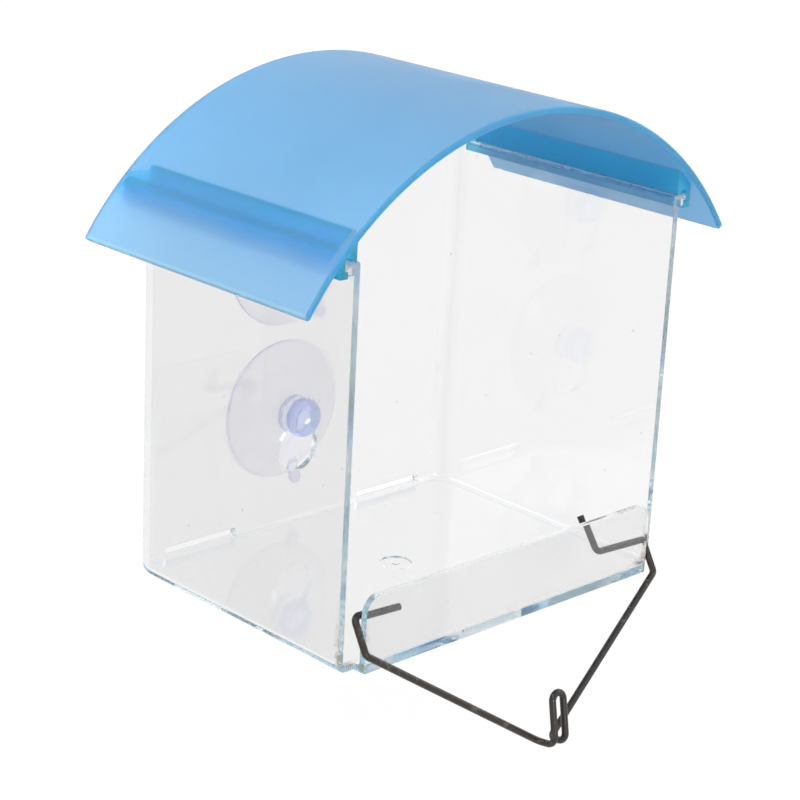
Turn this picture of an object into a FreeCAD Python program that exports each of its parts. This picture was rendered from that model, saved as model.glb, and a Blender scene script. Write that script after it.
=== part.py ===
import FreeCAD, Part
import math
import os
import Sketcher

# Window bird feeder: a clear moulded tray with an arched slide-on roof, a bent wire
# perch and two suction cups whose heads hang in keyholes in the back wall.
#
# Each piece is drawn from the middle of the underside of the floor: X across, Y back
# towards the window, Z up. The Placement of each piece then moves it so that the
# origin is the centre of the upper suction cup's rim, on the window pane.

Vector = FreeCAD.Vector
doc = FreeCAD.newDocument("window_bird_feeder")

# Driving sizes, mm.
DRIVING_SIZES = [
    ("body_width", 124.0, "over the outer faces of the side walls"),
    ("body_depth", 88.0, "from the front edges of the walls to the back face"),
    ("wall_height", 112.0, "from the underside of the floor to the top of the walls"),
    ("wall_thickness", 2.0, "side walls and back wall"),
    ("floor_thickness", 1.8, ""),
    ("back_corner_radius", 8.0, "outside radius of the upright back corners"),
    ("base_edge_radius", 3.0, "outside radius round the foot of the walls"),
    ("floor_corner_radius", 1.2, "inside radius between floor and walls"),
    ("wall_top_radius", 0.9, "rounding of the inner edge of the wall tops"),
    ("flange_reach", 2.8, "how far the top flanges stand out of the side walls"),
    ("flange_thickness", 1.6, ""),
    ("flange_rear_inset", 10.0, "from the end of the flange back to the back face"),
    ("gusset_size", 1.8, "small square rib under the front end of each flange"),
    ("lip_inset", 6.0, "the front lip ends this far inside the outer faces of the walls"),
    ("lip_height", 21.5, "from the underside of the floor"),
    ("lip_thickness", 2.0, ""),
    ("lip_corner_radius", 5.0, "top corners of the lip"),
    ("lip_step", 2.1, "from the front edges of the walls to the back of the lip"),
    ("lip_foot_radius", 0.8, "inside radius between lip and floor"),
    ("drain_inset", 24.0, "from the middle to the near end of each drain slot"),
    ("drain_length", 26.0, ""),
    ("drain_rise", 2.5, "height of the drain slots above the floor"),
    ("gate_diameter", 9.5, "round recess of the moulding gate under the floor"),
    ("gate_recess", 0.6, "depth of that recess"),
    ("gate_nub", 2.6, "diameter of the gate's stub in the recess"),
    ("gate_forward", 1.0, "from mid depth to the gate"),
    ("keyhole_diameter", 15.0, "round part of a keyhole"),
    ("keyhole_rise", 10.0, "from the centre of the round part up to the neck's seat"),
    ("keyhole_clearance", 0.08, "round the neck of a cup"),
    ("lower_cup_height", 34.5, "axis of the lower cup above the underside"),
    ("cup_diameter", 43.0, ""),
    ("cup_gap", 5.0, "between the rims of the two cups"),
    ("cup_standoff", 7.5, "from the back face to the rim of a cup"),
    ("cup_rim", 0.6, "thickness of the rim"),
    ("cup_land", 0.5, "width of the flat sealing land round the rim"),
    ("cup_hollow", 3.4, "depth of the hollow side"),
    ("hollow_floor_diameter", 14.0, "flat middle of the hollow side"),
    ("cup_shoulder_diameter", 27.0, "where the outer face of a cup changes slope"),
    ("cup_shoulder_height", 3.6, "from the plane of the rim to that change"),
    ("cup_clearance", 0.3, "between the wall and the collar or head of a cup"),
    ("collar_diameter", 11.6, ""),
    ("collar_height", 1.7, ""),
    ("neck_diameter", 7.0, ""),
    ("head_diameter", 14.0, ""),
    ("head_height", 4.5, ""),
    ("head_bevel", 2.2, "sloping edge round the front of the head"),
    ("dimple_diameter", 5.4, "round hollow in the front of the head"),
    ("dimple_sink", 1.3, ""),
    ("tab_width", 3.8, "pull tab on the rim"),
    ("tab_reach", 4.6, "beyond the rim"),
    ("tab_root", 1.5, "how far the tab starts inside the rim"),
    ("tab_thickness", 1.0, ""),
    ("tab_end_radius", 1.5, "rounding of the corners of the tab"),
    ("lower_tab_angle", 14.5, "degrees from straight down"),
    ("upper_tab_angle", 35.0, "degrees from straight down"),
    ("eave_overhang", 18.0, "from the side walls out to the eaves"),
    ("eave_drop", 10.9, "from the top of the walls down to the eaves"),
    ("crown_rise", 32.0, "from the top of the walls up to the crown of the arch"),
    ("roof_overhang", 2.5, "in front of the walls"),
    ("roof_rear_inset", 1.0, "from the back edge of the roof to the back face of the tray"),
    ("roof_thickness", 2.0, ""),
    ("roof_corner_radius", 0.8, "corners of the eaves"),
    ("roof_edge_bevel", 0.4, "eased front and back edges"),
    ("rib_inset", 0.8, "from the outer face of the wall in to the inner face of the rib on it"),
    ("rib_thickness", 1.2, ""),
    ("rib_rear_inset", 8.2, "from the end of the rib back to the back face"),
    ("seat_clearance", 0.1, "between a rib and the top of the wall"),
    ("leg_clearance", 0.2, "between a leg or its hook and the sides that they pass"),
    ("leg_thickness", 1.6, ""),
    ("leg_drop", 4.0, "from the top of the wall down to the foot of a leg"),
    ("leg_rear_inset", 2.2, "from the end of a leg back to the back face"),
    ("hook_thickness", 1.8, "the hook under the flange, at the foot of a leg"),
    ("cap_rise", 1.2, "from the top of the wall up to the cap between rib and leg"),
    ("cap_thickness", 1.5, ""),
    ("wire_diameter", 2.0, ""),
    ("arm_gap", 0.8, "between an arm and the end of the lip"),
    ("perch_clearance", 0.15, "between the wire and the back of the lip"),
    ("pivot_height", 12.6, "centre line of the stubs, mid span"),
    ("perch_tilt_angle", 3.2, "degrees that the right end stands lower"),
    ("perch_swing_angle", 33.0, "degrees that the arms stand forward of plumb"),
    ("left_stub", 15.3, "length of the left end behind the lip"),
    ("right_stub", 21.4, "length of the right end behind the lip"),
    ("lever_length", 10.8, "upturned right end"),
    ("lever_lean_angle", 5.0, "degrees that the lever leans inwards"),
    ("arm_length", 10.6, "from the pivot line to the shoulder"),
    ("perch_drop", 36.1, "from the shoulders to the foot of the wire"),
    ("drop_angle", 9.0, "degrees that the wire below the shoulders stands behind the arms"),
    ("hook_reach", 5.9, "from the foot forward to the legs of the loop"),
    ("hook_angle", 68.0, "degrees from the arms forward to the hook"),
    ("loop_leg_spacing", 4.3, "between the centre lines of the loop's legs"),
    ("loop_height", 14.4, "from the hook to the centre line of the loop's crown"),
    ("loop_lean_angle", 20.0, "degrees that the loop leans forward of the arms"),
    ("bend_radius", 1.8, "centre line of the shoulders and ends"),
    ("foot_bend_radius", 2.6, "centre line of the bends of the hook"),
]

# How far a cutting outline runs past the face that it cuts, mm.
OVERCUT = 1.0

# Two lengths within this are the same edge, mm, and two directions within this are parallel.
SAME_PLACE = 1e-4
SAME_DIRECTION = 1e-6

# First guess of how far an arc's centre stands off its chord, as a share of the chord.
CENTRE_GUESS = 0.3

# Share of half the leg spacing that each of the two bends over the loop takes.
LOOP_ROUNDNESS = 0.98

sizes = doc.addObject("Spreadsheet::Sheet", "Sizes")
for row, (alias, value, note) in enumerate(DRIVING_SIZES, start=1):
    sizes.set("A%d" % row, alias.replace("_", " "))
    sizes.set("B%d" % row, str(value))
    sizes.set("C%d" % row, note)
    sizes.setAlias("B%d" % row, alias)
doc.recompute()

# Expressions that pieces share, mm.
HALF_WIDTH = "Sizes.body_width / 2"
FRONT = "-Sizes.body_depth / 2"
BACK = "Sizes.body_depth / 2"
INNER_SIDE = "(Sizes.body_width / 2 - Sizes.wall_thickness)"
LIP_BACK = "(-Sizes.body_depth / 2 - Sizes.lip_step)"
LIP_FRONT = "(-Sizes.body_depth / 2 - Sizes.lip_step - Sizes.lip_thickness)"
LIP_HALF = "(Sizes.body_width / 2 - Sizes.lip_inset)"
WINDOW = "(Sizes.body_depth / 2 + Sizes.cup_standoff)"
CUP_SPACING = "(Sizes.cup_diameter + Sizes.cup_gap)"
UPPER_CUP_HEIGHT = "(Sizes.lower_cup_height + %s)" % CUP_SPACING
ROOF_HALF = "(Sizes.body_width / 2 + Sizes.eave_overhang)"
ROOF_SAGITTA = "(Sizes.crown_rise + Sizes.eave_drop)"
ROOF_OUTSIDE = "((%s^2 + %s^2) / (2 * %s))" % (ROOF_HALF, ROOF_SAGITTA, ROOF_SAGITTA)
ROOF_INSIDE = "(%s - Sizes.roof_thickness)" % ROOF_OUTSIDE
ROOF_MIDDLE = "(%s - Sizes.roof_thickness / 2)" % ROOF_OUTSIDE
ROOF_CENTRE = "(Sizes.wall_height + Sizes.crown_rise - %s)" % ROOF_OUTSIDE


# Drawing helpers.
def new_body(label):
    body = doc.addObject("PartDesign::Body", label)
    body.Label = label
    return body


def origin_feature(body, role):
    return [item for item in body.Origin.OriginFeatures if item.Role == role][0]


def new_sketch(body, name, role, offset="0"):
    sketch = body.newObject("Sketcher::SketchObject", name)
    sketch.AttachmentSupport = (origin_feature(body, role), [""])
    sketch.MapMode = "FlatFace"
    sketch.setExpression("AttachmentOffset.Base.z", offset)
    return sketch


def bind(sketch, constraint, expression):
    number = sketch.addConstraint(constraint)
    name = "size%d" % number
    sketch.renameConstraint(number, name)
    sketch.setExpression("Constraints." + name, expression)


def outline(body, name, role, corners, arcs=None, offset="0"):
    # A closed outline. Each corner is a pair of expressions. A side named in arcs, by
    # the number of the corner it starts at, is an arc of the given radius whose centre
    # is on the left (+1) or the right (-1) of its chord.
    sketch = new_sketch(body, name, role, offset)
    count = len(corners)
    start = [Vector(math.cos(2 * math.pi * i / count), math.sin(2 * math.pi * i / count), 0)
             for i in range(count)]
    for i in range(count):
        sketch.addGeometry(Part.LineSegment(start[i], start[(i + 1) % count]))
    for i, (across, along) in enumerate(corners):
        sketch.addConstraint(Sketcher.Constraint("Coincident", i, 2, (i + 1) % count, 1))
        bind(sketch, Sketcher.Constraint("DistanceX", -1, 1, i, 1, start[i].x), across)
        bind(sketch, Sketcher.Constraint("DistanceY", -1, 1, i, 1, start[i].y), along)
    doc.recompute()
    for i, (radius, side) in (arcs or {}).items():
        bend_side(sketch, i, radius, side)
    return sketch


def bend_side(sketch, chord, radius, side):
    # Replaces a straight side by an arc through the same two corners.
    first = sketch.getPoint(chord, 1)
    last = sketch.getPoint(chord, 2)
    along = last.sub(first)
    left = Vector(-along.y, along.x, 0)
    centre = first.add(along.multiply(0.5)).add(left.multiply(CENTRE_GUESS * side))
    spoke = first.sub(centre)
    circle = Part.Circle(centre, Vector(0, 0, 1), spoke.Length)
    angles = [math.atan2(p.y - centre.y, p.x - centre.x) for p in (first, last)]
    ends = (1, 2) if side > 0 else (2, 1)
    arc = sketch.addGeometry(Part.ArcOfCircle(circle, angles[ends[0] - 1], angles[ends[1] - 1]))
    sketch.toggleConstruction(chord)
    sketch.addConstraint(Sketcher.Constraint("Coincident", arc, 1, chord, ends[0]))
    sketch.addConstraint(Sketcher.Constraint("Coincident", arc, 2, chord, ends[1]))
    bind(sketch, Sketcher.Constraint("Radius", arc, spoke.Length), radius)


def rectangle(body, name, role, left, right, low, high, offset="0"):
    corners = [(left, low), (right, low), (right, high), (left, high)]
    return outline(body, name, role, corners, offset=offset)


def tray_outline(body, name, side, front, back, radius, offset="0"):
    # Plan of the tray: a rectangle whose two back corners are rounded.
    corner_start = "%s - %s" % (back, radius)
    corners = [("-" + side, front), (side, front),
               (side, corner_start), ("%s - %s" % (side, radius), back),
               ("%s - %s" % (radius, side), back), ("-" + side, corner_start)]
    return outline(body, name, "XY_Plane", corners, {2: (radius, 1), 4: (radius, 1)}, offset)


def circle(body, name, role, across, along, diameter, offset="0"):
    sketch = new_sketch(body, name, role, offset)
    ring = sketch.addGeometry(Part.Circle(Vector(1, 1, 0), Vector(0, 0, 1), 1))
    bind(sketch, Sketcher.Constraint("DistanceX", -1, 1, ring, 3, 1), across)
    bind(sketch, Sketcher.Constraint("DistanceY", -1, 1, ring, 3, 1), along)
    bind(sketch, Sketcher.Constraint("Radius", ring, 1), "(%s) / 2" % diameter)
    return sketch


def pad(body, name, sketch, length, reverse=False):
    feature = body.newObject("PartDesign::Pad", name)
    feature.Profile = sketch
    feature.Reversed = reverse
    feature.setExpression("Length", length)
    doc.recompute()
    return feature


def pocket(body, name, sketch, length, reverse=False):
    before = body.Shape.Volume
    feature = body.newObject("PartDesign::Pocket", name)
    feature.Profile = sketch
    feature.Reversed = reverse
    feature.setExpression("Length", length)
    doc.recompute()
    if not body.Shape.Volume < before:
        raise ValueError(name + " cuts nothing")
    return feature


def mirror(body, name, features):
    # Repeats features on the other side of the middle plane.
    feature = body.newObject("PartDesign::Mirrored", name)
    feature.Originals = features
    feature.MirrorPlane = (origin_feature(body, "YZ_Plane"), [""])
    body.Tip = feature
    doc.recompute()
    return feature


def dress_edges(body, kind, name, wanted, measure, size):
    # Treats those edges of the body so far that the test "wanted" picks.
    base = body.Tip
    names = ["Edge%d" % (i + 1) for i, edge in enumerate(base.Shape.Edges) if wanted(edge)]
    if not names:
        raise ValueError(name + " finds no edge")
    feature = body.newObject(kind, name)
    feature.Base = (base, names)
    feature.setExpression(measure, size)
    doc.recompute()


def fillet(body, name, radius, wanted):
    dress_edges(body, "PartDesign::Fillet", name, wanted, "Radius", radius)


def chamfer(body, name, width, wanted):
    dress_edges(body, "PartDesign::Chamfer", name, wanted, "Size", width)


def middle(edge):
    return edge.valueAt((edge.FirstParameter + edge.LastParameter) / 2)


def runs_along(edge, direction):
    if edge.Degenerated or edge.Curve.TypeId != "Part::GeomLine":
        return False
    return abs(abs(edge.Curve.Direction.dot(direction)) - 1) < SAME_DIRECTION


def near(first, second):
    return abs(first - second) < SAME_PLACE


def place(piece, x="0", y="0", z="0", turn="rotation(0; 0; 0)"):
    # Moves a piece from the drawing datum to the frame of the whole feeder.
    base = "vector(%s; (%s) - %s; (%s) - %s)" % (x, y, WINDOW, z, UPPER_CUP_HEIGHT)
    piece.setExpression("Placement", "placement(%s; %s)" % (base, turn))


# Clear body.
def make_clear_body():
    body = new_body("clear_body")
    half_width = sizes.body_width / 2
    half_depth = sizes.body_depth / 2
    inner_side = half_width - sizes.wall_thickness
    lip_back = -half_depth - sizes.lip_step

    # Block with rounded back corners and a rounded foot, open at the front once hollow.
    foot = tray_outline(body, "foot_outline", HALF_WIDTH, FRONT, BACK, "Sizes.back_corner_radius")
    pad(body, "block", foot, "Sizes.wall_height")
    fillet(body, "base_edge", "Sizes.base_edge_radius",
           lambda e: near(middle(e).z, 0) and middle(e).y > -half_depth + OVERCUT)

    hollow = tray_outline(body, "cavity_outline", INNER_SIDE, FRONT + " - %g" % OVERCUT,
                          BACK + " - Sizes.wall_thickness",
                          "(Sizes.back_corner_radius - Sizes.wall_thickness)", offset="Sizes.wall_height")
    pocket(body, "cavity", hollow, "Sizes.wall_height - Sizes.floor_thickness")
    fillet(body, "floor_corner", "Sizes.floor_corner_radius",
           lambda e: near(middle(e).z, sizes.floor_thickness)
           and abs(middle(e).x) <= inner_side + SAME_PLACE and middle(e).y > -half_depth + OVERCUT)
    fillet(body, "wall_top_edge", "Sizes.wall_top_radius",
           lambda e: runs_along(e, Vector(0, 1, 0)) and near(middle(e).z, sizes.wall_height)
           and near(abs(middle(e).x), inner_side))

    # Floor carried forward to the front lip, which ends short of the walls.
    tongue = rectangle(body, "tongue_outline", "XY_Plane", "-" + LIP_HALF, LIP_HALF,
                       LIP_FRONT, FRONT + " + %g" % OVERCUT)
    pad(body, "tongue", tongue, "Sizes.floor_thickness")
    lip = rectangle(body, "lip_outline", "XZ_Plane", "-" + LIP_HALF, LIP_HALF,
                    "0", "Sizes.lip_height", offset="-" + LIP_BACK)
    pad(body, "lip", lip, "Sizes.lip_thickness")
    fillet(body, "lip_corners", "Sizes.lip_corner_radius",
           lambda e: runs_along(e, Vector(0, 1, 0)) and near(middle(e).z, sizes.lip_height))
    fillet(body, "lip_foot", "Sizes.lip_foot_radius",
           lambda e: runs_along(e, Vector(1, 0, 0)) and near(middle(e).z, sizes.floor_thickness)
           and near(middle(e).y, lip_back))

    # Flanges that carry the roof, each with a small rib under its front end.
    flange = rectangle(body, "flange_outline", "XZ_Plane",
                       HALF_WIDTH + " - Sizes.wall_thickness / 2", HALF_WIDTH + " + Sizes.flange_reach",
                       "Sizes.wall_height - Sizes.flange_thickness", "Sizes.wall_height",
                       offset="Sizes.flange_rear_inset - Sizes.body_depth / 2")
    flange_pad = pad(body, "flange", flange, "Sizes.body_depth - Sizes.flange_rear_inset")
    gusset = rectangle(body, "gusset_outline", "XZ_Plane",
                       HALF_WIDTH + " - Sizes.wall_thickness / 2", HALF_WIDTH + " + Sizes.gusset_size",
                       "Sizes.wall_height - Sizes.flange_thickness - Sizes.gusset_size",
                       "Sizes.wall_height - Sizes.flange_thickness / 2",
                       offset="Sizes.body_depth / 2 - Sizes.gusset_size")
    gusset_pad = pad(body, "gusset", gusset, "Sizes.gusset_size")
    mirror(body, "flange_pair", [flange_pad, gusset_pad])

    # Keyhole: a round hole with a narrow slot above it, the same again for the upper cup.
    slot_half = "(Sizes.neck_diameter / 2 + Sizes.keyhole_clearance)"
    hole = "(Sizes.keyhole_diameter / 2)"
    seat = "Sizes.lower_cup_height"
    centre = "(Sizes.lower_cup_height - Sizes.keyhole_rise)"
    meet = centre + " + sqrt(%s^2 - %s^2)" % (hole, slot_half)
    corners = [(slot_half, meet), (slot_half, seat), ("0", seat + " + " + slot_half),
               ("-" + slot_half, seat), ("-" + slot_half, meet), ("0", centre + " - " + hole)]
    arcs = {1: (slot_half, 1), 2: (slot_half, 1), 4: (hole, 1), 5: (hole, 1)}
    keyhole = outline(body, "keyhole_outline", "XZ_Plane", corners, arcs,
                      offset="-Sizes.body_depth / 2 - %g" % OVERCUT)
    keyhole_cut = pocket(body, "keyhole", keyhole, "Sizes.wall_thickness + %g" % (2 * OVERCUT), reverse=True)
    pair = body.newObject("PartDesign::LinearPattern", "keyhole_pair")
    pair.Originals = [keyhole_cut]
    pair.Direction = (origin_feature(body, "Z_Axis"), [""])
    pair.setExpression("Length", CUP_SPACING)
    pair.Occurrences = 2
    body.Tip = pair
    doc.recompute()

    # Drain slots through the foot of the back wall.
    drain = rectangle(body, "drain_outline", "XZ_Plane",
                      "Sizes.drain_inset", "Sizes.drain_inset + Sizes.drain_length",
                      "Sizes.floor_thickness", "Sizes.floor_thickness + Sizes.drain_rise",
                      offset="-Sizes.body_depth / 2 - %g" % OVERCUT)
    drain_cut = pocket(body, "drain", drain,
                       "Sizes.wall_thickness + Sizes.floor_corner_radius + %g" % OVERCUT, reverse=True)
    mirror(body, "drain_pair", [drain_cut])

    # Recess of the moulding gate in the underside, with the stub left standing in it.
    recess = circle(body, "gate_outline", "XY_Plane", "0", "-Sizes.gate_forward", "Sizes.gate_diameter")
    pocket(body, "gate_recess", recess, "Sizes.gate_recess", reverse=True)
    stub = circle(body, "gate_stub_outline", "XY_Plane", "0", "-Sizes.gate_forward", "Sizes.gate_nub",
                  offset="Sizes.gate_recess / 2")
    pad(body, "gate_stub", stub, "Sizes.gate_recess")
    place(body)
    return body


# Roof.
def arch_height(radius, across):
    return "(%s + sqrt((%s)^2 - (%s)^2))" % (ROOF_CENTRE, radius, across)


def make_roof():
    body = new_body("roof")
    rear = "(Sizes.roof_rear_inset - Sizes.body_depth / 2)"

    # Arched sheet whose eaves are cut square to the arch.
    inner_half = "(%s * %s / %s)" % (ROOF_HALF, ROOF_INSIDE, ROOF_OUTSIDE)
    eave_top = arch_height(ROOF_OUTSIDE, ROOF_HALF)
    eave_low = arch_height(ROOF_INSIDE, inner_half)
    corners = [(ROOF_HALF, eave_top), ("-" + ROOF_HALF, eave_top),
               ("-" + inner_half, eave_low), (inner_half, eave_low)]
    arch = outline(body, "arch_outline", "XZ_Plane", corners,
                   {0: (ROOF_OUTSIDE, 1), 2: (ROOF_INSIDE, -1)}, offset=rear)
    pad(body, "arch", arch, "Sizes.body_depth + Sizes.roof_overhang - Sizes.roof_rear_inset")
    eave = sizes.body_width / 2 + sizes.eave_overhang - sizes.roof_thickness
    fillet(body, "eave_corners", "Sizes.roof_corner_radius",
           lambda e: near(e.Length, sizes.roof_thickness) and abs(middle(e).x) > eave)
    chamfer(body, "sheet_edges", "Sizes.roof_edge_bevel",
            lambda e: e.Curve.TypeId == "Part::GeomCircle" and near(middle(e).x, 0))

    # Rail: a rib stands on the wall, and a leg hangs outside the flange with a hook
    # under it. Both grow from the sheet, and a cap closes the space between their front
    # ends. The rib stops short of the rounded back corners of the tray.
    rib_left = HALF_WIDTH + " - Sizes.rib_inset"
    rib_right = rib_left + " + Sizes.rib_thickness"
    rib_low = "Sizes.wall_height + Sizes.seat_clearance"
    rib_end = "(Sizes.rib_rear_inset - Sizes.body_depth / 2)"
    leg_left = HALF_WIDTH + " + Sizes.flange_reach + Sizes.leg_clearance"
    leg_right = leg_left + " + Sizes.leg_thickness"
    leg_end = "(Sizes.leg_rear_inset - Sizes.body_depth / 2)"
    hook_left = HALF_WIDTH + " + Sizes.gusset_size + Sizes.leg_clearance"
    hook_low = "Sizes.wall_height - Sizes.leg_drop"
    hook_high = hook_low + " + Sizes.hook_thickness"
    cap_low = "Sizes.wall_height + Sizes.cap_rise"
    rib_top = arch_height(ROOF_MIDDLE, rib_left)
    leg_top = arch_height(ROOF_MIDDLE, leg_right)

    rib = outline(body, "rib_outline", "XZ_Plane", [
        (rib_left, rib_low),
        (rib_right, rib_low),
        (rib_right, arch_height(ROOF_MIDDLE, rib_right)),
        (rib_left, rib_top)], offset=rib_end)
    leg = outline(body, "leg_outline", "XZ_Plane", [
        (leg_left, hook_high),
        (hook_left, hook_high),
        (hook_left, hook_low),
        (leg_right, hook_low),
        (leg_right, leg_top),
        (leg_left, arch_height(ROOF_MIDDLE, leg_left))], offset=leg_end)
    cap = outline(body, "cap_outline", "XZ_Plane", [
        (rib_left, cap_low),
        (leg_right, cap_low),
        (leg_right, leg_top),
        (rib_left, rib_top)], offset="Sizes.body_depth / 2 - Sizes.cap_thickness")
    rail = [pad(body, "rib", rib, "Sizes.body_depth / 2 - %s" % rib_end),
            pad(body, "leg", leg, "Sizes.body_depth / 2 - %s" % leg_end),
            pad(body, "cap", cap, "Sizes.cap_thickness")]
    mirror(body, "rail_pair", rail)
    place(body)
    return body


# Suction cups.
def make_suction_cup(label, height, turn):
    # Turned profile about Y, in the frame of its own rim, with a pull tab at the foot.
    body = new_body(label)
    rim = "(Sizes.cup_diameter / 2)"
    collar = "(Sizes.collar_diameter / 2)"
    neck = "(Sizes.neck_diameter / 2)"
    head = "(Sizes.head_diameter / 2)"
    dimple = "(Sizes.dimple_diameter / 2)"
    collar_front = "(Sizes.cup_clearance - Sizes.cup_standoff)"
    head_back = "(-Sizes.cup_standoff - Sizes.wall_thickness - Sizes.cup_clearance)"
    head_front = "(%s - Sizes.head_height)" % head_back
    corners = [
        ("-Sizes.cup_hollow", "0"),
        ("-Sizes.cup_hollow", "Sizes.hollow_floor_diameter / 2"),
        ("0", rim + " - Sizes.cup_land"),
        ("0", rim),
        ("-Sizes.cup_rim", rim),
        ("-Sizes.cup_shoulder_height", "Sizes.cup_shoulder_diameter / 2"),
        (collar_front + " + Sizes.collar_height", collar),
        (collar_front, collar),
        (collar_front, neck),
        (head_back, neck),
        (head_back, head),
        (head_front + " + Sizes.head_bevel", head),
        (head_front, head + " - Sizes.head_bevel"),
        (head_front, dimple),
        (head_front + " + Sizes.dimple_sink", dimple + " - Sizes.dimple_sink / 2"),
        (head_front + " + Sizes.dimple_sink", "0"),
    ]
    profile = outline(body, label + "_profile", "YZ_Plane", corners)
    turned = body.newObject("PartDesign::Revolution", label + "_turned")
    turned.Profile = profile
    turned.ReferenceAxis = (profile, ["H_Axis"])
    turned.Angle = 360
    doc.recompute()
    tab = rectangle(body, label + "_tab_outline", "XZ_Plane",
                    "-Sizes.tab_width / 2", "Sizes.tab_width / 2",
                    "-%s - Sizes.tab_reach" % rim, "-%s + Sizes.tab_root" % rim)
    pad(body, label + "_tab", tab, "Sizes.tab_thickness")
    tip = -sizes.cup_diameter / 2 - sizes.tab_reach
    fillet(body, label + "_tab_end", "Sizes.tab_end_radius",
           lambda e: runs_along(e, Vector(0, 1, 0)) and near(middle(e).z, tip))
    place(body, y=WINDOW, z=height, turn="rotation(vector(0; 1; 0); -%s)" % turn)
    return body


# Wire perch.
def rounded_path(corners):
    # Straight runs joined by tangent arcs: each corner is a point with the radius of
    # its bend, and the two ends have none.
    edges = []
    start = corners[0][0]
    for (before, _), (corner, radius), (after, _) in zip(corners, corners[1:], corners[2:]):
        back = before.sub(corner).normalize()
        ahead = after.sub(corner).normalize()
        half_angle = back.getAngle(ahead) / 2
        reach = radius / math.tan(half_angle)
        inwards = back.add(ahead).normalize()
        centre = corner + inwards * (radius / math.sin(half_angle))
        first = corner + back * reach
        last = corner + ahead * reach
        edges.append(Part.LineSegment(start, first).toShape())
        edges.append(Part.Arc(first, centre - inwards * radius, last).toShape())
        start = last
    edges.append(Part.LineSegment(start, corners[-1][0]).toShape())
    return Part.Wire(edges)


def hanging(angle):
    # Direction in the middle plane, in degrees forward from straight down.
    return Vector(0, -math.sin(math.radians(angle)), -math.cos(math.radians(angle)))


def make_wire_perch():
    # Drawn with its short arms hanging plumb from the pivot line, which is the X axis.
    # The wire then runs in to the foot, where both strands hook forward and stand up as
    # the two legs of a narrow loop.
    span = sizes.body_width / 2 - sizes.lip_inset + sizes.arm_gap + sizes.wire_diameter / 2
    lever_lean = math.radians(sizes.lever_lean_angle)
    corner = Vector(span, 0, 0)
    arm = hanging(0) * sizes.arm_length
    foot = arm + hanging(-sizes.drop_angle) * sizes.perch_drop
    hook = foot + hanging(sizes.hook_angle) * sizes.hook_reach
    crown = hook + hanging(180 - sizes.loop_lean_angle) * sizes.loop_height
    leg = Vector(sizes.loop_leg_spacing / 2, 0, 0)
    left_end = Vector(sizes.left_stub - span, 0, 0)
    right_end = Vector(span - sizes.right_stub, 0, 0)
    lever = Vector(-math.sin(lever_lean), 0, math.cos(lever_lean)) * sizes.lever_length
    bend = sizes.bend_radius
    foot_bend = sizes.foot_bend_radius
    crown_bend = leg.x * LOOP_ROUNDNESS
    path = doc.addObject("Part::Feature", "perch_centre_line")
    path.Shape = rounded_path([
        (left_end, 0),
        (-corner, bend),
        (arm - corner, bend),
        (foot - leg, foot_bend),
        (hook - leg, foot_bend),
        (crown - leg, crown_bend),
        (crown + leg, crown_bend),
        (hook + leg, foot_bend),
        (foot + leg, foot_bend),
        (arm + corner, bend),
        (corner, bend),
        (right_end, bend),
        (right_end + lever, 0),
    ])
    section = doc.addObject("Part::Circle", "wire_section")
    section.setExpression("Radius", "Sizes.wire_diameter / 2")
    section.Placement = FreeCAD.Placement(left_end, FreeCAD.Rotation(Vector(0, 0, 1), Vector(-1, 0, 0)))
    doc.recompute()
    perch = doc.addObject("Part::Sweep", "wire_perch")
    perch.Sections = [section]
    perch.Spine = (path, ["Edge%d" % (i + 1) for i in range(len(path.Shape.Edges))])
    perch.Solid = True
    perch.Label = "wire_perch"
    place(perch, y=LIP_BACK + " + Sizes.perch_clearance + Sizes.wire_diameter / 2",
          z="Sizes.pivot_height", turn="rotation(0; Sizes.perch_tilt_angle; -Sizes.perch_swing_angle)")
    doc.recompute()
    return perch


# Build and write.
pieces = [
    make_clear_body(),
    make_roof(),
    make_wire_perch(),
    make_suction_cup("lower_suction_cup", "Sizes.lower_cup_height", "Sizes.lower_tab_angle"),
    make_suction_cup("upper_suction_cup", UPPER_CUP_HEIGHT, "Sizes.upper_tab_angle"),
]
doc.recompute()

for item in doc.Objects:
    if "Invalid" in item.State or "Error" in item.State:
        raise ValueError(item.Name + " failed: " + str(item.State))
for piece in pieces:
    if piece.Shape.isNull() or not piece.Shape.isValid():
        raise ValueError(piece.Label + " has no valid shape")

os.makedirs("parts", exist_ok=True)
for piece in pieces:
    piece.Shape.exportStep("parts/%s.step" % piece.Label)
    box = piece.Shape.BoundBox
    print("%s: %d solid(s), %.1f mm3, x %.1f..%.1f, y %.1f..%.1f, z %.1f..%.1f" % (
        piece.Label, len(piece.Shape.Solids), piece.Shape.Volume,
        box.XMin, box.XMax, box.YMin, box.YMax, box.ZMin, box.ZMax))
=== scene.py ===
import math

import bpy
import numpy as np
from mathutils import Matrix, Vector


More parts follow.
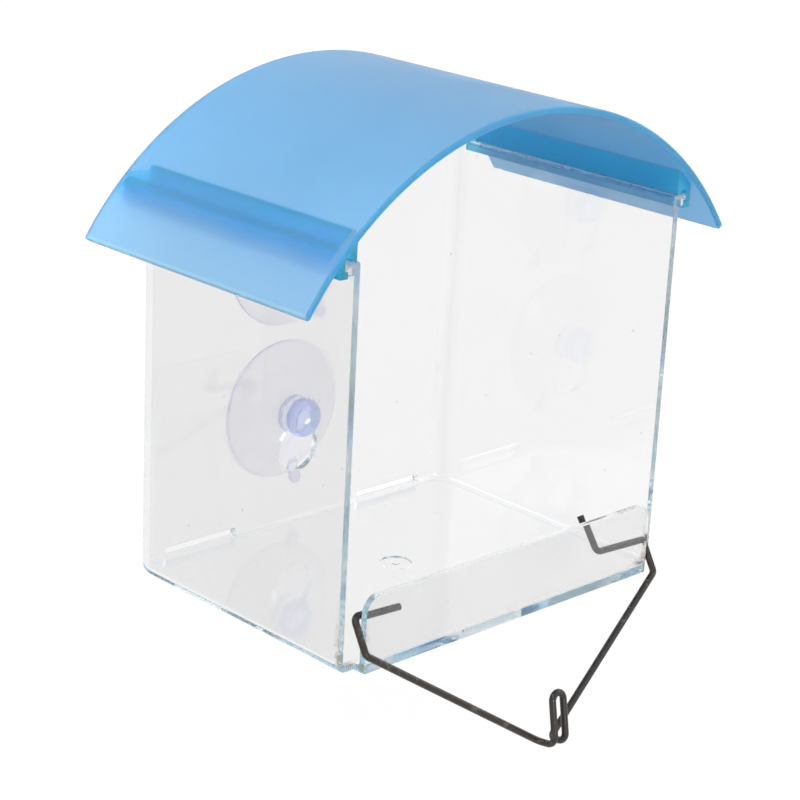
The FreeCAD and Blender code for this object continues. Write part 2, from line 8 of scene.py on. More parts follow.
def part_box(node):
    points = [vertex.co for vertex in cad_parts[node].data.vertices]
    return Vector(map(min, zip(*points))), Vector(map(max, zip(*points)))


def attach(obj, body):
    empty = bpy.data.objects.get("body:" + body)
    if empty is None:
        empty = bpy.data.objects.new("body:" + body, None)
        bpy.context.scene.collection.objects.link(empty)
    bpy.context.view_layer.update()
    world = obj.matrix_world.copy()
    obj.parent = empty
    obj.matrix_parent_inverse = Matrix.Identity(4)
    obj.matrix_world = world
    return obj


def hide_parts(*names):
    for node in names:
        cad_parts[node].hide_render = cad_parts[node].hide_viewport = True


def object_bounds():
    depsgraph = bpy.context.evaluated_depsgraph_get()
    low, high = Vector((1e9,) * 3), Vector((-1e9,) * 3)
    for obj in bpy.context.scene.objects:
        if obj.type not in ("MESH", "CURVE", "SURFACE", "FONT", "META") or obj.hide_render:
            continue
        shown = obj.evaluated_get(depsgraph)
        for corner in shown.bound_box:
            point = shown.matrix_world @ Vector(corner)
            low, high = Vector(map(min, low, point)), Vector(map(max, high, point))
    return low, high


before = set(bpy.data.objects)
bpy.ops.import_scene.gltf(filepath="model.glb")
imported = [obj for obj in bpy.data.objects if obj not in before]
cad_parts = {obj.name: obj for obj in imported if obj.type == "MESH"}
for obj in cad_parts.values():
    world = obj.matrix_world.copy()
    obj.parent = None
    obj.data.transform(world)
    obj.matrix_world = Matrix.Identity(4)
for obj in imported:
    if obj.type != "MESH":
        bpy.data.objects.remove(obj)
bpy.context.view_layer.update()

mm = 0.001
scene = bpy.context.scene


# Every place below is measured from the middle of the underside of the tray, as a maker would.
tray = {"depth": 88 * mm}

bodyLow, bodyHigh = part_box("clear_body")
datum = Vector((0, bodyHigh.y - tray["depth"] / 2, bodyLow.z))


def fromDatum(x, y, z):
    return datum + Vector((x, y, z)) * mm


# Small helpers for building node trees.
def newMaterial(name):
    material = bpy.data.materials.new(name)
    material.use_nodes = True
    tree = material.node_tree
    tree.nodes.clear()
    output = tree.nodes.new("ShaderNodeOutputMaterial")
    shader = tree.nodes.new("ShaderNodeBsdfPrincipled")
    tree.links.new(shader.outputs["BSDF"], output.inputs["Surface"])
    return material, tree, shader, output


def put(tree, kind, values=None, **settings):
    # A node with its settings, and its inputs given as a number, a colour or a link from another node.
    node = tree.nodes.new(kind)
    for key, value in settings.items():
        setattr(node, key, value)
    for key, value in (values or {}).items():
        if isinstance(value, bpy.types.NodeSocket):
            tree.links.new(value, node.inputs[key])
        else:
            node.inputs[key].default_value = value
    return node


def calc(tree, operation, *values, clamp=False):
    # One sum on one to three values.
    node = put(tree, "ShaderNodeMath", dict(enumerate(values)), operation=operation, use_clamp=clamp)
    return node.outputs["Value"]


def fade(tree, value, low, high, toLow=0.0, toHigh=1.0):
    # Rises softly from toLow to toHigh while the value goes from low to high.
    return put(tree, "ShaderNodeMapRange",
               {"Value": value, "From Min": low, "From Max": high, "To Min": toLow, "To Max": toHigh},
               interpolation_type="SMOOTHSTEP").outputs["Result"]


def fadeAt(tree, length, pair):
    # The same for a length, between two places given in mm.
    return fade(tree, length, *(value * mm for value in pair))


def fadeAlong(tree, axes, axis, pair):
    # The same along one axis, between two places given in mm from the datum.
    start = datum["XYZ".index(axis)]
    return fade(tree, axes[axis], *(start + value * mm for value in pair))


def noise(tree, place, size, detail=2.0):
    return put(tree, "ShaderNodeTexNoise", {"Vector": place, "Scale": size, "Detail": detail}).outputs["Fac"]


def blendColours(tree, amount, first, second):
    # Goes from the first colour to the second as the amount goes from 0 to 1.
    first, second = (colour if isinstance(colour, bpy.types.NodeSocket) else (*colour, 1)
                     for colour in (first, second))
    return put(tree, "ShaderNodeMix", {"Factor": amount, 6: first, 7: second}, data_type="RGBA").outputs[2]


def bump(tree, height, strength, distance):
    node = put(tree, "ShaderNodeBump", {"Height": height, "Strength": strength, "Distance": distance})
    return node.outputs["Normal"]


def objectPlace(tree):
    return put(tree, "ShaderNodeTexCoord").outputs["Object"]


def axesOf(tree, place):
    return put(tree, "ShaderNodeSeparateXYZ", {0: place}).outputs


def absorb(tree, output, colour, density):
    # Plain absorption through the thickness: the edge of a sheet looks deeper than its face.
    volume = put(tree, "ShaderNodeVolumeAbsorption", {"Color": (*colour, 1), "Density": density})
    tree.links.new(volume.outputs[0], output.inputs["Volume"])


# Here and in the dictionaries of the materials, a pair of numbers is where a soft step starts and
# where it ends, so a pair that falls is a step down. Places are in mm from the datum.
marksOfUse = {
    "sizes": {"Smudge Size": 30.0, "Scratch Size": 60.0, "Speck Size": 180.0},
    "scratchTurns": ((0.3, 0.5, 0.9), (1.1, -0.4, 0.2)),
    "scratchStretches": ((1, 14, 22), (18, 1, 15)),
    "scratchEdge": (0.66, 0.74),
    "speckEdge": (0.10, 0.04),
    "speckPatches": (0.60, 0.66),
    "smudgeEdge": (0.45, 0.72),
    "smudgeDetail": 5.0,
}


def makeMarksGroup():
    # Marks of use. Smudges are soft cloud noise. Scratches are fine noise pulled out along
    # two slanted directions. Specks are the dots of a cell texture, kept only here and there.
    look = marksOfUse
    group = bpy.data.node_groups.new("marks of use", "ShaderNodeTree")
    for name, value in look["sizes"].items():
        socket = group.interface.new_socket(name, in_out="INPUT", socket_type="NodeSocketFloat")
        socket.default_value = value
    for name in ("Smudges", "Scratches", "Specks"):
        group.interface.new_socket(name, in_out="OUTPUT", socket_type="NodeSocketFloat")
    source = put(group, "NodeGroupInput").outputs
    result = put(group, "NodeGroupOutput").inputs
    place = objectPlace(group)
    lines = []
    for turn, stretch in zip(look["scratchTurns"], look["scratchStretches"]):
        pulled = put(group, "ShaderNodeMapping", {"Vector": place, "Rotation": turn, "Scale": stretch})
        streaks = noise(group, pulled.outputs["Vector"], source["Scratch Size"])
        lines.append(fade(group, streaks, *look["scratchEdge"]))
    cells = put(group, "ShaderNodeTexVoronoi", {"Vector": place, "Scale": source["Speck Size"]})
    dots = fade(group, cells.outputs["Distance"], *look["speckEdge"])
    patches = fade(group, noise(group, place, source["Speck Size"]), *look["speckPatches"])
    clouds = noise(group, place, source["Smudge Size"], look["smudgeDetail"])
    group.links.new(fade(group, clouds, *look["smudgeEdge"]), result["Smudges"])
    group.links.new(calc(group, "MAXIMUM", *lines), result["Scratches"])
    group.links.new(calc(group, "MULTIPLY", dots, patches), result["Specks"])
    return group


marksGroup = makeMarksGroup()


def marks(tree, sizes):
    return put(tree, "ShaderNodeGroup", sizes, node_tree=marksGroup).outputs


clearTray = {
    "tint": (0.878, 0.876, 0.878),
    "grazeTint": (0.36, 0.38, 0.42),
    "grazeBlend": 0.5,
    "graze": (0.86, 1.0),
    "edgeTint": (0.38, 0.60, 0.64),
    "edgeDensity": 3.6,
    "residue": (0.46, 0.35, 0.21),
    "residueAmount": 0.9,
    "residueGrain": 420.0,
    "residueDetail": 4.0,
    "residueEdge": (0.38, 0.62),
    "residueFront": (-41.5, -43.5),
    "residueHeight": (24.0, 1.0),
    "residueSide": (54.0, 56.0),
    "dirt": (0.30, 0.27, 0.22),
    "dirtAmount": 0.6,
    "roughness": 0.015,
    "smudgeRoughness": 0.07,
    "dustRoughness": 0.4,
    "ior": 1.56,
    "waveSize": 22.0,
    "waveDetail": 1.0,
    "waveHeight": 0.6 * mm,
    "waveStrength": 0.12,
    "scratchDepth": 0.04,
    "wallTopHeight": (111.2, 111.8),
    "paintedRoofLightTint": (0.40, 0.72, 0.92),
    "scuffedRoughness": 0.25,
    "cornerShadeTint": (0.80, 0.80, 0.81),
    "cornerShadeSide": (57.5, 60.5),
    "cornerShadeBack": (38.0, 41.5),
    "marks": {"Smudge Size": 38.0, "Scratch Size": 34.0, "Speck Size": 210.0},
}


def clearTrayMaterial():
    look = clearTray
    material, tree, shader, output = newMaterial("clear tray plastic")
    found = marks(tree, look["marks"])
    place = objectPlace(tree)
    axes = axesOf(tree, place)
    # Dried seed dust sits at the foot of the front edges of the walls and at the ends of the lip.
    out = calc(tree, "ABSOLUTE", calc(tree, "SUBTRACT", axes["X"], datum.x))
    front = fadeAlong(tree, axes, "Y", look["residueFront"])
    foot = fadeAlong(tree, axes, "Z", look["residueHeight"])
    side = fadeAt(tree, out, look["residueSide"])
    grain = noise(tree, place, look["residueGrain"], look["residueDetail"])
    grain = fade(tree, grain, *look["residueEdge"], 0.0, look["residueAmount"])
    residue = calc(tree, "MULTIPLY", calc(tree, "MULTIPLY", front, foot), calc(tree, "MULTIPLY", side, grain))
    dirt = calc(tree, "MULTIPLY", found["Specks"], look["dirtAmount"])
    # Light that skims the sheet passes through more of it, so outlines darken.
    skim = put(tree, "ShaderNodeLayerWeight", {"Blend": look["grazeBlend"]}).outputs["Facing"]
    colour = blendColours(tree, fade(tree, skim, *look["graze"]), look["tint"], look["grazeTint"])
    # Painted shade: the back corners are painted darker than the walls, because they look thicker than the
    # walls.
    corner = calc(tree, "MULTIPLY", fadeAt(tree, out, look["cornerShadeSide"]),
                  fadeAlong(tree, axes, "Y", look["cornerShadeBack"]))
    colour = blendColours(tree, corner, colour, look["cornerShadeTint"])
    # Painted light: the tops of the walls under the roof are painted the roof's blue, for the blue light that
    # reaches them through the roof. The ribs of the roof have also scuffed them, so they are rougher there.
    scuffAndRoofLight = fadeAlong(tree, axes, "Z", look["wallTopHeight"])
    colour = blendColours(tree, scuffAndRoofLight, colour, look["paintedRoofLightTint"])
    colour = blendColours(tree, residue, colour, look["residue"])
    tree.links.new(blendColours(tree, dirt, colour, look["dirt"]), shader.inputs["Base Color"])
    rough = calc(tree, "MULTIPLY_ADD", found["Smudges"], look["smudgeRoughness"], look["roughness"])
    dusty = calc(tree, "MAXIMUM", residue, dirt)
    rough = calc(tree, "MULTIPLY_ADD", dusty, look["dustRoughness"], rough)
    rough = calc(tree, "MULTIPLY_ADD", scuffAndRoofLight, look["scuffedRoughness"], rough, clamp=True)
    tree.links.new(rough, shader.inputs["Roughness"])
    shader.inputs["IOR"].default_value = look["ior"]
    shader.inputs["Transmission Weight"].default_value = 1.0
    wave = noise(tree, place, look["waveSize"], look["waveDetail"])
    height = calc(tree, "MULTIPLY_ADD", found["Scratches"], -look["scratchDepth"], wave)
    tree.links.new(bump(tree, height, look["waveStrength"], look["waveHeight"]), shader.inputs["Normal"])
    absorb(tree, output, look["edgeTint"], look["edgeDensity"])
    return material


blueRoof = {
    "colour": (0.225, 0.600, 0.985),
    "streak": (0.260, 0.635, 0.990),
    "eaveHazeColour": (0.300, 0.640, 0.965),
    "eaveHazeFade": (67.0, 79.0),
    "edgeColour": (0.110, 0.570, 0.990),
    "frontEdge": (-45.8, -46.15),
    "backEdge": (42.3, 42.65),
    "eaveEdgeHighlight": (0.420, 0.740, 0.990),
    "eaveEdgeHighlightZone": (79.2, 79.5),
    "archAxis": 47.96,  # the two faces below are measured from here
    "outerFace": (95.24, 95.64),
    "railFace": (93.94, 93.44),
    "railShadeColour": (0.025, 0.540, 0.990),
    "legShadeColour": (0.003, 0.500, 0.990),
    "bandStart": (62.4, 63.2),
    "bandEnd": (72.8, 68.4),
    "lineRise": (65.2, 68.0),
    "bandFront": (-44.4, -43.6),
    "bandRear": (36.0, 42.0),  # over the rib, and over the leg
    "rearStep": (64.2, 66.2),
    "bandRearFade": (1.2, -1.2),
    "railColour": (0.080, 0.700, 1.000),
    "streakSize": 14.0,
    "streakDetail": 3.0,
    "streakEdge": (0.35, 0.65),
    "roughness": 0.40,
    "smudgeRoughness": 0.10,
    "speckRoughness": 0.2,
    "transmission": 0.77,
    "scatterDepth": 3 * mm,
    "scatterRadius": (1.0, 0.8, 0.7),
    "ior": 1.50,
    "grainSize": 900.0,
    "grainHeight": 0.15 * mm,
    "grainStrength": 0.10,
    "scratchDepth": 0.5,
    "marks": {"Smudge Size": 26.0, "Scratch Size": 40.0, "Speck Size": 160.0},
    "moulding": ((-51.7, 22.8, 128.9), (-55.3, -36.6, 126.5), (48.6, -39.1, 128.5)),
    "mouldingRadius": 2.6 * mm,
    "mouldingWidth": 0.35 * mm,
    "mouldingDepth": 12.0,
}


def blueRoofMaterial():
    look = blueRoof
    material, tree, shader, _ = newMaterial("blue roof plastic")
    found = marks(tree, look["marks"])
    place = objectPlace(tree)
    axes = axesOf(tree, place)
    out = calc(tree, "ABSOLUTE", calc(tree, "SUBTRACT", axes["X"], datum.x))
    flow = fade(tree, noise(tree, place, look["streakSize"], look["streakDetail"]), *look["streakEdge"])
    colour = blendColours(tree, flow, look["colour"], look["streak"])
    # Painted light: the sheet is painted paler towards its eaves, for the haze of light on them. It is deeper
    # along its front and back edges.
    colour = blendColours(tree, fadeAt(tree, out, look["eaveHazeFade"]), colour, look["eaveHazeColour"])
    atEnds = calc(tree, "MAXIMUM", fadeAlong(tree, axes, "Y", look["frontEdge"]),
                  fadeAlong(tree, axes, "Y", look["backEdge"]))
    colour = blendColours(tree, atEnds, colour, look["edgeColour"])
    # Painted highlight: the very edge of each eave is painted lighter, for the light it catches.
    colour = blendColours(tree, fadeAt(tree, out, look["eaveEdgeHighlightZone"]), colour, look["eaveEdgeHighlight"])
    # Painted shade: its outer face is painted deepest over the rails, for the rails and their shadows seen
    # through the sheet: sharp at the rib, strongest along the leg, then soft.
    # The leg reaches further back than the rib, and so does the band over it.
    rise = calc(tree, "SUBTRACT", axes["Z"], fromDatum(0, 0, look["archAxis"]).z)
    spoke = calc(tree, "SQRT", calc(tree, "MULTIPLY_ADD", out, out, calc(tree, "MULTIPLY", rise, rise)))
    onOuterFace = fadeAt(tree, spoke, look["outerFace"])
    overLeg = fadeAt(tree, out, look["lineRise"])
    ribEnd, legEnd = (datum.y + end * mm for end in look["bandRear"])
    rearEnd = calc(tree, "MULTIPLY_ADD", fadeAt(tree, out, look["rearStep"]), legEnd - ribEnd, ribEnd)
    alongRail = calc(tree, "MULTIPLY", fadeAlong(tree, axes, "Y", look["bandFront"]),
                     fadeAt(tree, calc(tree, "SUBTRACT", axes["Y"], rearEnd), look["bandRearFade"]))
    acrossRail = calc(tree, "MULTIPLY", fadeAt(tree, out, look["bandStart"]),
                      fadeAt(tree, out, look["bandEnd"]))
    railShadeBand = calc(tree, "MULTIPLY", calc(tree, "MULTIPLY", alongRail, acrossRail), onOuterFace)
    paintedRailShade = blendColours(tree, overLeg, look["railShadeColour"], look["legShadeColour"])
    colour = blendColours(tree, railShadeBand, colour, paintedRailShade)
    # Whatever stands inside the arch is rib, leg or cap, and has the rails' own colour.
    onRail = fadeAt(tree, spoke, look["railFace"])
    tree.links.new(blendColours(tree, onRail, colour, look["railColour"]), shader.inputs["Base Color"])
    rough = calc(tree, "MULTIPLY_ADD", found["Smudges"], look["smudgeRoughness"], look["roughness"])
    rough = calc(tree, "MULTIPLY_ADD", found["Specks"], look["speckRoughness"], rough, clamp=True)
    tree.links.new(rough, shader.inputs["Roughness"])
    shader.inputs["IOR"].default_value = look["ior"]
    shader.inputs["Transmission Weight"].default_value = look["transmission"]
    shader.inputs["Subsurface Weight"].default_value = 1.0
    shader.inputs["Subsurface Radius"].default_value = look["scatterRadius"]
    shader.inputs["Subsurface Scale"].default_value = look["scatterDepth"]
    height = calc(tree, "MULTIPLY_ADD", found["Scratches"], -look["scratchDepth"],
                  noise(tree, place, look["grainSize"]))
    # The mould left a few faint rings, each a shallow groove at a fixed distance from its centre.
    for centre in look["moulding"]:
        away = put(tree, "ShaderNodeVectorMath", {0: place, 1: fromDatum(*centre)}, operation="DISTANCE")
        off = calc(tree, "ABSOLUTE", calc(tree, "SUBTRACT", away.outputs["Value"], look["mouldingRadius"]))
        groove = fade(tree, off, look["mouldingWidth"], 0.0)
        height = calc(tree, "MULTIPLY_ADD", groove, -look["mouldingDepth"], height)
    tree.links.new(bump(tree, height, look["grainStrength"], look["grainHeight"]), shader.inputs["Normal"])
    return material


coatedWire = {
    "coating": (0.015, 0.0105, 0.008),
    "rubbed": (0.095, 0.072, 0.056),
    "drawnSize": 700.0,
    "drawnDetail": 5.0,
    "wornEdge": (0.48, 0.62),
    "roughness": 0.22,
    "drawnRoughness": 0.14,
    "drawnEdge": (0.3, 0.7),
    "ior": 1.5,
    "drawnHeight": 0.12 * mm,
    "drawnStrength": 0.25,
    "scratchDepth": 0.4,
    "marks": {"Smudge Size": 120.0, "Scratch Size": 160.0, "Speck Size": 700.0},
}


def coatedWireMaterial():
    look = coatedWire
    material, tree, shader, _ = newMaterial("coated wire")
    found = marks(tree, look["marks"])
    place = objectPlace(tree)
    drawn = noise(tree, place, look["drawnSize"], look["drawnDetail"])
    worn = calc(tree, "MULTIPLY", found["Smudges"], fade(tree, drawn, *look["wornEdge"]))
    worn = calc(tree, "MAXIMUM", worn, found["Specks"])
    tree.links.new(blendColours(tree, worn, look["coating"], look["rubbed"]), shader.inputs["Base Color"])
    roughest = look["roughness"] + look["drawnRoughness"]
    rough = fade(tree, drawn, *look["drawnEdge"], look["roughness"], roughest)
    tree.links.new(rough, shader.inputs["Roughness"])
    shader.inputs["IOR"].default_value = look["ior"]
    height = calc(tree, "MULTIPLY_ADD", found["Scratches"], -look["scratchDepth"], drawn)
    tree.links.new(bump(tree, height, look["drawnStrength"], look["drawnHeight"]), shader.inputs["Normal"])
    return material


# The suction cups, as soft turned pieces in place of their plain CAD solids. The outline runs
# from the middle of the hollow side, round the rim and over the dome to the dimple in the head:
# how far each corner stands off the pane, and its radius, in mm.
suctionCup = {
    "outline": (
        (3.9, 0.0), (3.85, 3.5), (3.5, 8.0), (2.5, 13.5), (1.2, 18.0), (0.15, 20.6), (0.0, 21.0),
        (0.0, 21.5), (0.55, 21.5), (0.9, 21.1), (2.0, 18.2), (3.5, 13.5), (4.6, 9.5), (5.2, 6.6),
        (5.5, 5.8), (5.5, 5.8), (7.2, 5.8), (7.2, 5.8), (7.2, 3.5), (7.2, 3.5), (9.8, 3.5), (9.8, 3.5),
        (9.8, 5.6), (10.2, 5.95), (11.8, 5.95), (13.3, 5.3), (13.9, 4.2), (13.9, 3.0), (13.7, 2.6),
        (12.8, 2.2), (12.6, 1.2), (12.6, 0.0)),
    "softness": 2,  # times that the corners are cut
    "leastGap": 1e-6,
    "around": 176,
    "rimRadius": 21.5,
    "rimZone": 2.5,  # how far in from the rim its wave and lift begin
    "edgeZone": (0.6, 0.1),  # how far in the tab's reach begins and is whole
    "rimWave": 0.12,
    "waves": 3,
    "wavePhase": 0.8,
    "rimLift": 0.18,
    "lifts": 2,
    "tabAround": 25,
    "tabWidth": 3.8,
    "tabReach": 4.6,
    "tabSquareness": 4.0,
    "tabRoot": (4.0, 3.6),  # the same for its thickness
    "tabThickness": 0.5,
    "headStart": (8.9, 9.5),
    "cups": (  # the piece, the node it stands for, and the lean of its tab in degrees
        ("upper_cup_skin", "upper_suction_cup", 35.0),
        ("lower_cup_skin", "lower_suction_cup", 14.5)),
}


def cutCorners(outline, times, leastGap):
    # Each time, every corner gives way to the points a quarter of the way along its two sides.
    for _ in range(times):
        start, end = outline[:-1], outline[1:]
        cut = np.empty((2 * len(start), outline.shape[1]))
        cut[0::2] = 0.75 * start + 0.25 * end
        cut[1::2] = 0.25 * start + 0.75 * end
        outline = np.vstack([outline[:1], cut, outline[-1:]])
    # A corner given twice stays sharper, and leaves points on top of each other, which are dropped.
    gaps = np.linalg.norm(np.diff(outline, axis=0), axis=1)
    return outline[np.append(True, gaps > leastGap)]


def step(value, low, high):
    # 0 below low, 1 above high, and a soft cubic rise between them.
    share = np.clip((value - low) / (high - low), 0.0, 1.0)
    return share * share * (3.0 - 2.0 * share)


def turnedMesh(name, rings, firstPole, lastPole):
    # Skin over rings of equal count: quads between neighbours, and a fan from a pole at each end.
    rows, columns = rings.shape[:2]
    corner = np.arange(rows * columns).reshape(rows, columns)
    beside = np.roll(corner, -1, axis=1)
    quads = np.stack([corner[:-1], corner[1:], beside[1:], beside[:-1]], axis=-1).reshape(-1, 4)
    first, last = rows * columns, rows * columns + 1
    fans = [np.stack([np.full(columns, first), corner[0], beside[0]], axis=-1),
            np.stack([np.full(columns, last), beside[-1], corner[-1]], axis=-1)]
    places = np.vstack([rings.reshape(-1, 3), firstPole, lastPole])
    mesh = bpy.data.meshes.new(name)
    mesh.from_pydata(places.tolist(), [], quads.tolist() + np.vstack(fans).tolist())
    mesh.polygons.foreach_set("use_smooth", np.ones(len(mesh.polygons), dtype=bool))
    mesh.update()
    return mesh


def makeSuctionCup(name, node, lean):
    # Point at a stand-off s, radius r and angle a from the tab: (-r sin a, -s, -r cos a), turned
    # by the lean of the tab. Near the rim r shrinks with a slow wave of the angle and s grows with
    # another. Inside the tab's angles the rim is carried out straight by a rounded square, and
    # the outer face is a little thicker.
    look = suctionCup
    _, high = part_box(node)
    outline = cutCorners(np.array(look["outline"]), look["softness"], look["leastGap"])[1:-1]
    half = math.asin(look["tabWidth"] / 2 / look["rimRadius"])
    onTab = half * np.sin(np.linspace(-math.pi / 2, math.pi / 2, look["tabAround"]))
    rest = np.linspace(half, 2 * math.pi - half, look["around"])[1:-1]
    angle = np.concatenate([onTab, rest])[None, :]
    standOff, radius = outline[:, :1], outline[:, 1:]
    atRim = step(radius, look["rimRadius"] - look["rimZone"], look["rimRadius"])
    onEdge = step(radius, *(look["rimRadius"] - inset for inset in look["edgeZone"]))
    share = np.clip(np.abs(angle) / half, 0.0, 1.0)
    reach = look["tabReach"] * (1.0 - share ** look["tabSquareness"]) ** (1.0 / look["tabSquareness"])
    waved = radius - look["rimWave"] * atRim * (1.0 + np.cos(look["waves"] * angle + look["wavePhase"])) / 2
    lifted = standOff + look["rimLift"] * atRim * (1.0 - np.cos(look["lifts"] * angle)) / 2
    outside = np.arange(len(radius))[:, None] > np.argmax(radius)
    onRoot = step(radius, *(look["rimRadius"] - inset for inset in look["tabRoot"]))
    lifted = lifted + look["tabThickness"] * outside * onRoot * (share < 1.0)
    across = -waved * np.sin(angle)
    along = -waved * np.cos(angle) - reach * onEdge
    turn = math.radians(lean)
    centre = np.array((0.0, high.y, high.z - look["rimRadius"] * mm))
    flat = np.stack([across * math.cos(turn) - along * math.sin(turn),
                     -lifted, across * math.sin(turn) + along * math.cos(turn)], axis=-1)
    poles = [centre + np.array((0.0, -look["outline"][end][0] * mm, 0.0)) for end in (0, -1)]
    mesh = turnedMesh(name, centre + flat * mm, *poles)
    count = flat.shape[0] * flat.shape[1]
    for label, part in (("rim", atRim), ("head", step(standOff, *look["headStart"]))):
        values = np.zeros(count + 2)
        values[:count] = np.broadcast_to(part, flat.shape[:2]).reshape(-1)
        values[-1] = 1.0 if label == "head" else 0.0
        mesh.attributes.new(label, "FLOAT", "POINT").data.foreach_set("value", values)
    cup = bpy.data.objects.new(name, mesh)
    scene.collection.objects.link(cup)
    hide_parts(node)
    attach(cup, "window_cups")
    return cup


softCup = {
    "tint": (0.925, 0.925, 0.950),
    "cloud": (0.895, 0.895, 0.940),
    "cloudSize": 90.0,
    "cloudDetail": 3.0,
    "cloudEdge": (0.4, 0.7),
    "rimTint": (0.80, 0.78, 0.95),
    "rimAmount": 0.8,
    "rimEdge": (0.6, 1.0),
    "headTint": (0.60, 0.70, 0.96),
    "headAmount": 0.9,
    "edgeTint": (0.35, 0.42, 0.88),
    "edgeDensity": 30.0,
    "roughness": 0.075,
    "smudgeRoughness": 0.12,
    "speckRoughness": 0.3,
    "headRoughness": 0.12,
    "ior": 1.53,
    "rippleHeight": 0.4 * mm,
    "rippleStrength": 0.15,
    "marks": {"Smudge Size": 70.0, "Scratch Size": 50.0, "Speck Size": 260.0},
}


def softCupMaterial():
    look = softCup
    material, tree, shader, output = newMaterial("clear soft cup")
    found = marks(tree, look["marks"])
    place = objectPlace(tree)
    cloud = noise(tree, place, look["cloudSize"], look["cloudDetail"])
    rim = put(tree, "ShaderNodeAttribute", attribute_name="rim").outputs["Fac"]
    head = put(tree, "ShaderNodeAttribute", attribute_name="head").outputs["Fac"]
    colour = blendColours(tree, fade(tree, cloud, *look["cloudEdge"]), look["tint"], look["cloud"])
    atRim = fade(tree, rim, *look["rimEdge"], 0.0, look["rimAmount"])
    colour = blendColours(tree, atRim, colour, look["rimTint"])
    colour = blendColours(tree, calc(tree, "MULTIPLY", head, look["headAmount"]), colour, look["headTint"])
    tree.links.new(colour, shader.inputs["Base Color"])
    rough = calc(tree, "MULTIPLY_ADD", found["Smudges"], look["smudgeRoughness"], look["roughness"])
    rough = calc(tree, "MULTIPLY_ADD", found["Specks"], look["speckRoughness"], rough)
    rough = calc(tree, "MULTIPLY_ADD", head, look["headRoughness"], rough, clamp=True)
    tree.links.new(rough, shader.inputs["Roughness"])
    shader.inputs["IOR"].default_value = look["ior"]
    shader.inputs["Transmission Weight"].default_value = 1.0
    tree.links.new(bump(tree, cloud, look["rippleStrength"], look["rippleHeight"]), shader.inputs["Normal"])
    absorb(tree, output, look["edgeTint"], look["edgeDensity"])
    return material


def dress(name, material):
    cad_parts[name].material_slots[0].material = material


dress("clear_body", clearTrayMaterial())
dress("roof", blueRoofMaterial())
dress("wire_perch", coatedWireMaterial())
print("materials placed")

softPlastic = softCupMaterial()
for cupName, cupNode, tabLean in suctionCup["cups"]:
    makeSuctionCup(cupName, cupNode, tabLean).data.materials.append(softPlastic)
print("suction cups made")


# The lamps are turned to the centre, which is in mm from the datum, and stand in metres from it.
studio = {
    "centre": (0, 0, 60),
    "bounces": 128,
    "floorGap": 10 * mm,
    "floorReach": 4.0,
    "worldLight": 1.0,
    "floorColour": (0.86, 0.86, 0.86),
    "floorShare": 0.92,
    "floorGlow": 1.03,
    "keyPlace": (-0.9, -0.7, 1.3),
    "keySize": 0.9,
    "keyPower": 6.0,
    "fillPlace": (1.3, -0.5, 0.9),
    "fillSize": 1.2,
    "fillPower": 5.0,
    "backPlace": (-0.9, 1.2, 1.0),
    "backSize": 1.0,
    "backPower": 7.0,
    "glintPlace": (-0.35, -1.2, 0.10),
    "glintSize": 0.25,
    "glintPower": 3.0,
}


def seenDirectly(tree):
    # 1 where the background is seen by the eye, in a reflection or through clear plastic.
    path = put(tree, "ShaderNodeLightPath").outputs
    seen = calc(tree, "MAXIMUM", path["Is Camera Ray"], path["Is Glossy Ray"])
    return calc(tree, "MAXIMUM", seen, path["Is Transmission Ray"])


def makeWorld():
    world = bpy.data.worlds.new("pale room")
    scene.world = world
    world.use_nodes = True
    tree = world.node_tree
    tree.nodes.clear()
    # Plain white where it is seen, and as strong as wanted where it only lights.
    unseen = studio["worldLight"]
    strength = calc(tree, "MULTIPLY_ADD", seenDirectly(tree), 1.0 - unseen, unseen)
    light = put(tree, "ShaderNodeBackground", {"Color": (1, 1, 1, 1), "Strength": strength})
    output = put(tree, "ShaderNodeOutputWorld")
    tree.links.new(light.outputs[0], output.inputs["Surface"])


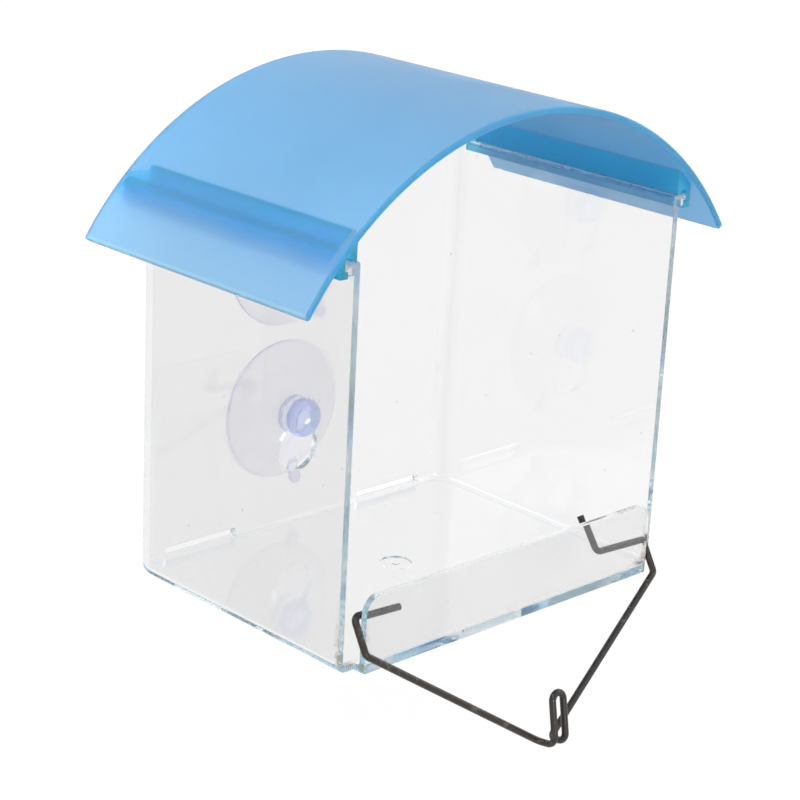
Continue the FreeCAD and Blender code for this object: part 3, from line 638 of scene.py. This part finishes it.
def makeFloor(height):
    reach = studio["floorReach"]
    corners = np.array([(-reach, -reach), (reach, -reach), (reach, reach), (-reach, reach)])
    places = np.column_stack([corners, np.full(4, height)])
    mesh = bpy.data.meshes.new("floor")
    mesh.from_pydata(places.tolist(), [], [(0, 1, 2, 3)])
    floor = bpy.data.objects.new("floor", mesh)
    scene.collection.objects.link(floor)
    material = bpy.data.materials.new("pale floor")
    material.use_nodes = True
    tree = material.node_tree
    tree.nodes.clear()
    matt = put(tree, "ShaderNodeBsdfDiffuse", {"Color": (*studio["floorColour"], 1)})
    glow = put(tree, "ShaderNodeEmission", {"Strength": studio["floorGlow"]})
    share = calc(tree, "MULTIPLY", seenDirectly(tree), studio["floorShare"])
    both = put(tree, "ShaderNodeMixShader", {0: share, 1: matt.outputs[0], 2: glow.outputs[0]})
    # From below, the floor is clear, so that the underside can be looked at.
    below = put(tree, "ShaderNodeNewGeometry").outputs["Backfacing"]
    clear = put(tree, "ShaderNodeBsdfTransparent")
    floorSkin = put(tree, "ShaderNodeMixShader", {0: below, 1: both.outputs[0], 2: clear.outputs[0]})
    output = put(tree, "ShaderNodeOutputMaterial")
    tree.links.new(floorSkin.outputs[0], output.inputs["Surface"])
    mesh.materials.append(material)


def makeLamp(name, aim):
    lamp = bpy.data.lights.new(name, "AREA")
    lamp.shape = "SQUARE"
    lamp.size = studio[name + "Size"]
    lamp.energy = studio[name + "Power"]
    holder = bpy.data.objects.new(name, lamp)
    away = Vector(studio[name + "Place"])
    holder.location = aim + away
    holder.rotation_euler = (-away).to_track_quat("-Z", "Y").to_euler()
    scene.collection.objects.link(holder)


viewpoint = {
    "aim": (-18.43, -18.04, 60.0),  # in mm from the datum
    "azimuth": -44.54,
    "elevation": 18.97,
    "roll": 2.92,
    "distance": 635.6 * mm,
    "lens": 104.8,
    "sensor": 36.0,
}


def makeCamera():
    # Stands back from the aim along the azimuth and elevation, then rolls about its own line of sight.
    look = viewpoint
    turn = math.radians(look["azimuth"])
    lift = math.radians(look["elevation"])
    roll = math.radians(look["roll"])
    back = Vector((math.sin(turn) * math.cos(lift), -math.cos(turn) * math.cos(lift), math.sin(lift)))
    right = (-back).cross(Vector((0, 0, 1))).normalized()
    up = right.cross(-back)
    rolledRight = right * math.cos(roll) + up * math.sin(roll)
    rolledUp = up * math.cos(roll) - right * math.sin(roll)
    lens = bpy.data.cameras.new("view")
    lens.lens = look["lens"]
    lens.sensor_width = look["sensor"]
    camera = bpy.data.objects.new("view", lens)
    scene.collection.objects.link(camera)
    place = fromDatum(*look["aim"]) + back * look["distance"]
    turned = Matrix((rolledRight, rolledUp, back)).transposed().to_4x4()
    camera.matrix_world = Matrix.Translation(place) @ turned
    scene.camera = camera


lowest = Vector(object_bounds()[0]).z
makeWorld()
makeFloor(lowest - studio["floorGap"])  # low enough for the perch to swing over it
centre = fromDatum(*studio["centre"])
for lampName in ("key", "fill", "back", "glint"):
    makeLamp(lampName, centre)
makeCamera()
scene.cycles.max_bounces = studio["bounces"]
scene.cycles.transmission_bounces = studio["bounces"]
scene.cycles.glossy_bounces = studio["bounces"]
scene.view_settings.view_transform = "Standard"
print("studio and camera placed")
